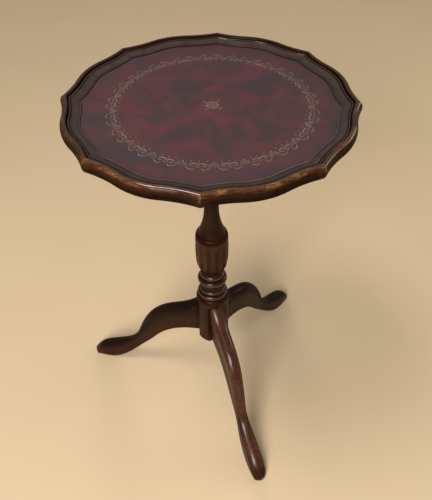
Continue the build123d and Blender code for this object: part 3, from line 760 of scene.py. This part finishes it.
def closeTree(inlet, shape):  # real faces, one finish
    whole = inlet.make("GeometryNodeRealizeInstances", {}, {0: shape})
    finish = inlet.beside("Finish")
    dressed = inlet.make("GeometryNodeSetMaterial", {}, {"Geometry": whole, "Material": finish})
    inlet.make("NodeGroupOutput", {}, {0: dressed})


def runTree(name, mesh, tree, names, sizes, material):  # a plain mesh object from the tree
    raw = bpy.data.objects.new(name + "_raw", mesh)
    bpy.context.scene.collection.objects.link(raw)
    modifier = raw.modifiers.new("made", "NODES")
    modifier.node_group = tree
    for label, value in {**sizes, "Finish": material}.items():
        modifier[names[label]] = value
    bpy.context.view_layer.update()
    shaped = bpy.data.meshes.new_from_object(raw.evaluated_get(bpy.context.evaluated_depsgraph_get()))
    raw.modifiers.remove(modifier)
    bpy.data.objects.remove(raw)
    shaped.name = name
    piece = bpy.data.objects.new(name, shaped)
    bpy.context.scene.collection.objects.link(piece)
    return piece


def toolingTree():
    tree, inlet, names = newTree("tooling", {
        "Repeats": "NodeSocketInt", "Inner": "NodeSocketFloat", "Middle": "NodeSocketFloat",
        "Turn": "NodeSocketFloat", "Drift": "NodeSocketFloat", "Height": "NodeSocketFloat",
        "Place": "NodeSocketVector"})
    repeats, middle, height = inlet.beside("Repeats"), inlet.beside("Middle"), inlet.beside("Height")
    width = inlet.make("GeometryNodeInputNamedAttribute", {"data_type": "FLOAT"}, {"Name": "strokeWidth"})
    spot = inlet.make("GeometryNodeInputNamedAttribute", {"data_type": "FLOAT"}, {"Name": "dotSize"})
    x, y, z = split(inlet.make("GeometryNodeInputPosition"))

    # strokes: a round section swept along each curve and pressed flat
    lines = inlet.make("GeometryNodeMeshToCurve", {}, {"Mesh": inlet})
    lines = inlet.make("GeometryNodeCurveSplineType", {"spline_type": "CATMULL_ROM"}, {"Curve": lines})
    lines = inlet.make("GeometryNodeSetSplineResolution", {}, {
        "Geometry": lines, "Resolution": gilt["strokeSteps"]})
    lines = inlet.make("GeometryNodeSetCurveNormal", {"mode": "Z_UP"}, {"Curve": lines})
    section = inlet.make("GeometryNodeCurvePrimitiveCircle", {"mode": "RADIUS"}, {
        "Resolution": gilt["strokeSides"], "Radius": 0.5})
    ribbon = inlet.make("GeometryNodeCurveToMesh", {}, {
        "Curve": lines, "Profile Curve": section, "Scale": width, "Fill Caps": True})
    level = z.ramp(-gilt["pressed"], gilt["pressed"]) * height - height * 0.5
    flat = inlet.make("ShaderNodeCombineXYZ", {}, {0: x, 1: y, 2: level})
    ribbon = inlet.make("GeometryNodeSetPosition", {}, {"Geometry": ribbon, "Position": flat})

    # dots: a disc on each loose point
    disc = inlet.make("GeometryNodeMeshCylinder", {}, {
        "Vertices": gilt["dotSides"], "Radius": 1.0, "Depth": 1.0})
    isDot = spot.sums("GREATER_THAN", spot, 0.0)
    dots = inlet.make("GeometryNodeMeshToPoints", {}, {"Mesh": inlet, "Selection": isDot})
    size = inlet.make("ShaderNodeCombineXYZ", {}, {0: spot, 1: spot, 2: height})
    dots = inlet.make("GeometryNodeInstanceOnPoints", {}, {"Points": dots, "Instance": disc, "Scale": size})
    one = inlet.make("GeometryNodeJoinGeometry", {}, {0: ribbon})
    tree.links.new(dots.socket, one.socket.node.inputs[0])

    # a straight frieze of repeats, bent round the ring
    offset = inlet.make("ShaderNodeCombineXYZ", {}, {0: 2 * math.pi * middle / repeats})
    row = inlet.make("GeometryNodeMeshLine", {"mode": "OFFSET"}, {"Count": repeats, "Offset": offset})
    frieze = inlet.make("GeometryNodeInstanceOnPoints", {}, {"Points": row, "Instance": one})
    frieze = inlet.make("GeometryNodeRealizeInstances", {}, {0: frieze})
    turn = inlet.beside("Turn")
    angle = turn - x / middle
    drifted = angle.band(turn + (gilt["driftFrom"] - 2 * math.pi), gilt["driftHalf"])
    angle = angle - drifted * inlet.beside("Drift")
    radius = inlet.beside("Inner") + y
    cosine, sine = angle.sums("COSINE", angle), angle.sums("SINE", angle)
    ring = inlet.make("ShaderNodeCombineXYZ", {}, {0: radius * cosine, 1: radius * sine, 2: z})
    ring = ring.shifted(inlet.beside("Place"))
    closeTree(inlet, inlet.make("GeometryNodeSetPosition", {}, {"Geometry": frieze, "Position": ring}))
    return tree, names


giltGold = giltFinish()
tooling, toolingNames = toolingTree()
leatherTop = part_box("leather_inset")[1].z
borderMesh = strokeMesh("borderStrokes", withTwins(borderStrokes) + fanStrokes(repeatEnd), borderDots)
rosetteMesh = strokeMesh("rosetteStrokes", withTwins(rosetteStrokes), rosetteDots)
for name, mesh, look in (("gilt_border", borderMesh, border), ("gilt_rosette", rosetteMesh, rosette)):
    piece = runTree(name, mesh, tooling, toolingNames, {
        "Repeats": look["repeats"], "Inner": look["inner"], "Middle": look["middle"],
        "Turn": math.radians(look["turn"]), "Drift": math.radians(look["drift"]), "Height": gilt["height"],
        "Place": (*gilt["centre"], leatherTop)}, giltGold)
    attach(piece, "top")
    print(name, "tooled,", len(piece.data.polygons), "faces")

# wood that nobody polished, under the top
plainWood = {
    "panel": {
        "body": (0.150, 0.0780, 0.0400),
        "light": (0.215, 0.1230, 0.0680),
        "dark": (0.080, 0.0390, 0.0200),
        "turn": (0.0, 0.0, 0.0),
        "seed": 0.2,
    },
    "stained": {
        "body": (0.070, 0.0310, 0.0150),
        "light": (0.115, 0.0560, 0.0270),
        "dark": (0.032, 0.0140, 0.0075),
        "turn": (0.0, 0.0, math.radians(90.0)),  # grain along Y
        "seed": 0.6,
    },
    "boardScale": (5.0, 75.0, 75.0),
    "board": {"detail": 4.0, "distortion": 1.1, "low": 0.40, "high": 0.66},
    "poreScale": (45.0, 1300.0, 1300.0),
    "pores": {"detail": 2.0, "low": 0.55, "high": 0.72},
    "poreDark": 0.6,
    "dust": {"scale": 38.0, "detail": 4.0, "distortion": 0.4},
    "dustEnds": (0.50, 0.75),
    "dustDark": 0.5,
    "gloss": 0.62,
    "dustRough": 0.2,
    "specular": 0.15,
    "relief": {"pores": 0.7, "dust": 0.3},
    "reliefDepth": 0.00014,
}


def plainFinish(name, look):
    material, place = newFinish(name)
    here = place.shifted((look["seed"],) * 3)
    board = here.stretched(look["turn"], plainWood["boardScale"]).patches(**plainWood["board"])
    pores = here.stretched(look["turn"], plainWood["poreScale"]).patches(**plainWood["pores"])
    dust = here.noise(**plainWood["dust"])
    colour = board.blend(look["body"], look["light"]).tint(look["dark"], pores * plainWood["poreDark"])
    colour = colour.tint(look["dark"], dust.ramp(*plainWood["dustEnds"]) * plainWood["dustDark"])
    rough = plainWood["gloss"] + dust * plainWood["dustRough"]
    relief = 1.0 - pores * plainWood["relief"]["pores"] + dust * plainWood["relief"]["dust"]
    values = {"Base Color": colour, "Roughness": rough, "Specular IOR Level": plainWood["specular"]}
    closeFinish(place, values, relief, plainWood["reliefDepth"])
    return material


dress("top_core", plainFinish("panelWood", plainWood["panel"]))
stainedWood = plainFinish("stainedWood", plainWood["stained"])
for name in ("bearer_left", "bearer_right", "tilt_block", "block_wedge"):
    dress(name, stainedWood)

# brass of the catch and steel of the pins, both dulled by age
metals = {
    "brass": {"body": (0.560, 0.395, 0.170), "dull": (0.215, 0.135, 0.058), "gloss": 0.30},
    "steel": {"body": (0.400, 0.385, 0.365), "dull": (0.120, 0.095, 0.080), "gloss": 0.36},
    "tarnish": {"scale": 130.0, "detail": 5.0, "distortion": 0.7, "low": 0.42, "high": 0.70},
    "markTurn": (0.0, 0.0, 0.6),
    "markScale": (3200.0, 130.0, 900.0),
    "markEnds": (0.6, 0.8),
    "dulling": {"tarnish": 0.75, "marks": 0.2},
    "roughness": {"tarnish": 0.24, "marks": 0.10},
    "tarnishRelief": 0.4,
    "reliefDepth": 0.00002,
}


def metalFinish(name, look):
    material, place = newFinish(name)
    tarnish = place.patches(**metals["tarnish"])
    marks = place.stretched(metals["markTurn"], metals["markScale"]).noise()
    dulling, rougher = metals["dulling"], metals["roughness"]
    dull = tarnish * dulling["tarnish"] + marks.ramp(*metals["markEnds"]) * dulling["marks"]
    rough = look["gloss"] + tarnish * rougher["tarnish"] + marks * rougher["marks"]
    values = {"Base Color": dull.blend(look["body"], look["dull"]), "Roughness": rough, "Metallic": 1.0}
    closeFinish(place, values, marks + tarnish * metals["tarnishRelief"], metals["reliefDepth"])
    return material


agedBrass = metalFinish("agedBrass", metals["brass"])
dullSteel = metalFinish("dullSteel", metals["steel"])
for name in ("catch_plate", "catch_case", "catch_bolt", "catch_knob", "keeper_plate"):
    dress(name, agedBrass)
for name in ("pivot_pin_left", "pivot_pin_right", "catch_spring"):
    dress(name, dullSteel)
print("underside finished")

# folded spring: the part's mesh with its doubled points merged, on the top
springPress = {"joint": "catch_slide", "travel": 0.006, "mergeWithin": 0.000001}
springWork = bmesh.new()
springWork.from_mesh(nodes["catch_spring"].data)
bmesh.ops.remove_doubles(springWork, verts=springWork.verts, dist=springPress["mergeWithin"])
springMesh = bpy.data.meshes.new("folded_spring")
springWork.to_mesh(springMesh)
springWork.free()
springMesh.materials.append(dullSteel)
spring = bpy.data.objects.new("folded_spring", springMesh)
bpy.context.scene.collection.objects.link(spring)
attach(spring, "top")
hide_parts("catch_spring")
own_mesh(spring)

# slotted screws, with radii, lengths and slots in mm
screwKinds = {
    "bearer_screws": {"body": "top", "facing": (0, 0, -1), "head": 4.0, "shank": 2.0, "length": 29.0,
                      "slotWidth": 0.9, "slotDepth": 0.9},
    "catch_screws": {"body": "top", "facing": (0, 0, -1), "head": 2.8, "shank": 1.4, "length": 10.0,
                     "slotWidth": 0.7, "slotDepth": 0.6},
    "keeper_screws": {"body": "base", "facing": (0, -1, 0), "head": 2.8, "shank": 1.4, "length": 11.0,
                      "slotWidth": 0.7, "slotDepth": 0.6},
}
screwShape = {
    "sides": 24,
    "faceShare": 0.985,  # of the head's radius, inside its broken edge
    "edgeDrop": 0.06,
    "slotOver": 3.0,  # slot's length in head radii, so that it runs out on both sides
    "faceWithin": 0.01,  # points this near the face belong to it
    "apart": 9.0,  # points nearer to each other than this belong to one screw
    "firstSeed": 4,
}


def screwMesh(name, kind):  # a turned countersunk screw, head at the origin, pointing up
    head, shank, length = kind["head"], kind["shank"], kind["length"]
    profile = [(head * screwShape["faceShare"], 0.0), (head, -screwShape["edgeDrop"]),
               (shank, shank - head), (shank, shank - length)]
    sides = screwShape["sides"]
    angles = [2 * math.pi * step / sides for step in range(sides)]
    work = bmesh.new()
    rings = [[work.verts.new((radius * mm * math.cos(angle), radius * mm * math.sin(angle), height * mm))
              for angle in angles] for radius, height in profile]
    tip = work.verts.new((0.0, 0.0, -length * mm))
    work.faces.new(rings[0])
    for step in range(sides):
        after = (step + 1) % sides
        for upper, lower in zip(rings, rings[1:]):
            work.faces.new((upper[step], lower[step], lower[after], upper[after]))
        work.faces.new((rings[-1][step], tip, rings[-1][after]))
    bmesh.ops.recalc_face_normals(work, faces=work.faces)
    mesh = bpy.data.meshes.new(name)
    work.to_mesh(mesh)
    work.free()
    return mesh


def screwPlaces(name):  # middles of the separate screws of a CAD group, on the head's face
    low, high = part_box(name)
    facing = Vector(screwKinds[name]["facing"])
    faceAt = max(facing.dot(low), facing.dot(high)) - screwShape["faceWithin"] * mm
    heads = []
    for vertex in nodes[name].data.vertices:
        if facing.dot(vertex.co) < faceAt:
            continue
        point = vertex.co.copy()
        for head in heads:
            if (head[0] - point).length < screwShape["apart"] * mm:
                head.append(point)
                break
        else:
            heads.append([point])
    middles = []
    for head in heads:
        spans = [[point[axis] for point in head] for axis in range(3)]
        middles.append(tuple((min(span) + max(span)) / 2 for span in spans))
    return middles


def screwTree():
    tree, inlet, names = newTree("slottedScrews", {
        "Screw": "NodeSocketObject", "Slot width": "NodeSocketFloat", "Slot depth": "NodeSocketFloat",
        "Slot length": "NodeSocketFloat", "Lean": "NodeSocketVector", "Seed": "NodeSocketInt"})
    screw = inlet.make("GeometryNodeObjectInfo", {}, {"Object": inlet.beside("Screw")}, "Geometry")
    size = inlet.make("ShaderNodeCombineXYZ", {}, {
        0: inlet.beside("Slot length"), 1: inlet.beside("Slot width"), 2: inlet.beside("Slot depth") * 2.0})
    cutter = inlet.make("GeometryNodeMeshCube", {}, {"Size": size})
    slotted = inlet.make("GeometryNodeMeshBoolean", {"operation": "DIFFERENCE"}, {"Mesh 1": screw})
    tree.links.new(cutter.socket, slotted.socket.node.inputs["Mesh 2"])
    spin = inlet.make("FunctionNodeRandomValue", {"data_type": "FLOAT"}, {
        2: 0.0, 3: 2 * math.pi, "Seed": inlet.beside("Seed")}, 1)  # from no turn to a whole one
    twist = inlet.make("ShaderNodeCombineXYZ", {}, {2: spin})
    group = inlet.make("GeometryNodeInstanceOnPoints", {}, {
        "Points": inlet, "Instance": slotted, "Rotation": inlet.beside("Lean")})
    group = inlet.make("GeometryNodeRotateInstances", {}, {
        "Instances": group, "Rotation": twist, "Local Space": True})
    closeTree(inlet, group)
    return tree, names


screws, screwNames = screwTree()
for seed, (name, kind) in enumerate(screwKinds.items(), screwShape["firstSeed"]):
    pattern = bpy.data.objects.new(name + "_pattern", screwMesh(name + "_pattern", kind))
    bpy.context.scene.collection.objects.link(pattern)
    points = bpy.data.meshes.new(name + "_places")
    points.from_pydata(screwPlaces(name), [], [])
    lean = Vector((0, 0, 1)).rotation_difference(Vector(kind["facing"])).to_euler()
    piece = runTree(name + "_slotted", points, screws, screwNames, {
        "Screw": pattern, "Slot width": kind["slotWidth"] * mm, "Slot depth": kind["slotDepth"] * mm,
        "Slot length": screwShape["slotOver"] * kind["head"] * mm, "Lean": lean, "Seed": seed}, dullSteel)
    bpy.data.objects.remove(pattern)
    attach(piece, kind["body"])
    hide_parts(name)
    print(name, len(points.vertices), "screws,", len(piece.data.polygons), "faces")

# floor and light of a plain room
stage = {
    "floor": (0.64, 0.49, 0.31),
    "shade": (0.58, 0.44, 0.275),
    "shadePatches": {"scale": 3.0, "detail": 3.0, "low": 0.4, "high": 0.8},
    "shadeShare": 0.4,
    "rough": 0.9,
    "specular": 0.1,
    "floorSize": 30.0,
    "sky": (1.0, 0.97, 0.93),
    "skyLight": 0.26,
}

floorHalf = stage["floorSize"] / 2
floorCorners = [(x * floorHalf, y * floorHalf, 0) for x, y in ((-1, -1), (1, -1), (1, 1), (-1, 1))]
floorMesh = bpy.data.meshes.new("floor")
floorMesh.from_pydata(floorCorners, [], [(0, 1, 2, 3)])
floor = bpy.data.objects.new("floor", floorMesh)
bpy.context.scene.collection.objects.link(floor)
floorPaint, place = newFinish("paleFloor")
shaded = place.patches(**stage["shadePatches"]) * stage["shadeShare"]
closeFinish(place, {
    "Base Color": shaded.blend(stage["floor"], stage["shade"]),
    "Roughness": stage["rough"],
    "Specular IOR Level": stage["specular"],
})
floorMesh.materials.append(floorPaint)

world = bpy.data.worlds.new("softRoom")
bpy.context.scene.world = world
world.use_nodes = True
world.node_tree.nodes.clear()
sky = Socket(world.node_tree)
light = sky.make("ShaderNodeBackground", {}, {"Color": stage["sky"], "Strength": stage["skyLight"]})
sky.make("ShaderNodeOutputWorld", {}, {"Surface": light})

# lamps, all turned to the middle of the table
lookAt = Vector((0.0, 0.0, 0.33))
warm = (1.0, 0.97, 0.93)
lamps = {
    "overhead": {"place": (-0.75, 0.05, 2.40), "size": (0.70, 0.50), "power": 19.0, "colour": warm},
    "window": {"place": (-1.00, -1.28, 1.25), "size": (0.80, 0.85), "power": 36.0,
               "colour": (1.0, 0.98, 0.96)},
    "fill": {"place": (2.10, 0.20, 1.10), "size": (1.20, 0.90), "power": 10.0, "colour": warm},
    "behind": {"place": (0.90, 5.20, 0.36), "size": (3.00, 0.24), "power": 24.0, "colour": warm,
               "spread": 36.0, "mirrored": False},  # soft light alone, for the views from behind
}
for name, lamp in lamps.items():
    data = bpy.data.lights.new(name, "AREA")
    data.shape = "RECTANGLE"
    data.size, data.size_y = lamp["size"]
    data.energy = lamp["power"]
    data.spread = math.radians(lamp.get("spread", 180.0))
    data.color = lamp["colour"]
    lit = bpy.data.objects.new(name, data)
    lit.location = lamp["place"]
    lit.visible_glossy = lamp.get("mirrored", True)
    lit.rotation_euler = (lookAt - lit.location).to_track_quat("-Z", "Y").to_euler()
    bpy.context.scene.collection.objects.link(lit)

# camera, which looks down on the table at an angle
view = {
    "place": (-0.17701, -0.51746, 0.84911),
    "heading": -19.472,
    "pitch": 45.544,
    "roll": -0.3805,
    "lens": 40.423,
    "sensor": 36.0,
    "near": 0.01,
}
camera = bpy.data.objects.new("camera", bpy.data.cameras.new("camera"))
bpy.context.scene.collection.objects.link(camera)
facing = Matrix.Identity(4)
for angle, axis in ((view["heading"], "Z"), (90.0 - view["pitch"], "X"), (view["roll"], "Z")):
    facing = facing @ Matrix.Rotation(math.radians(angle), 4, axis)
camera.matrix_world = Matrix.Translation(view["place"]) @ facing
camera.data.lens = view["lens"]
camera.data.sensor_width = view["sensor"]
camera.data.clip_start = view["near"]
bpy.context.scene.camera = camera
bpy.context.scene.view_settings.view_transform = "Standard"
print("stage set")
